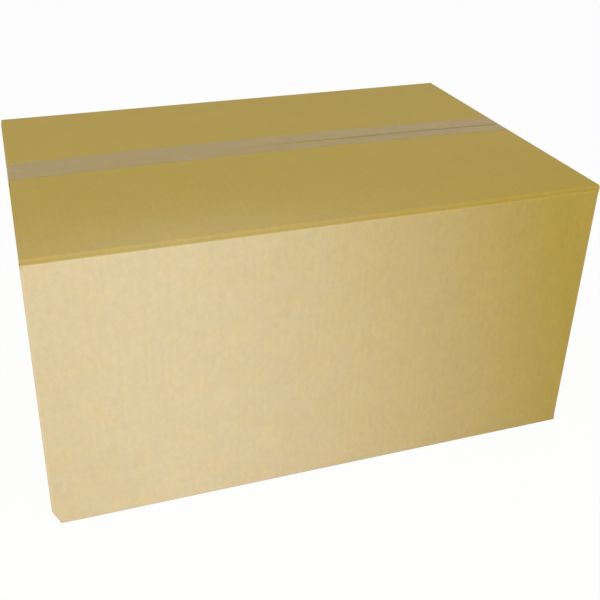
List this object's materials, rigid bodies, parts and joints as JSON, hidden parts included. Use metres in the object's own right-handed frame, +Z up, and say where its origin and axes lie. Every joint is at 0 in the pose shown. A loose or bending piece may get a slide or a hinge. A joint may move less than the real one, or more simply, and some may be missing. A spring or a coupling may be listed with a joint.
{
  "type": "closed cardboard box",
  "caption": "Closed rectangular shipping carton folded from one corrugated sheet, flaps shut along lengthwise seams with clear packing tape.",
  "frame": {"origin": "middle of the outline on the surface that the box stands on", "axes": "+X along the length and the seams, front long wall faces -Y, +Z up"},
  "size_m": [0.6002, 0.392, 0.315],
  "materials": {
    "corrugated_board": "plain brown kraft liner, matt with a faint sheen, fine fibre mottling",
    "packing_tape": "clear packing tape, greyish tan over the board, soft gloss"
  },
  "bodies": {
    "root": {"carton": "corrugated_board", "top_tape": "packing_tape", "bottom_tape": "packing_tape"}
  },
  "joints": []
}
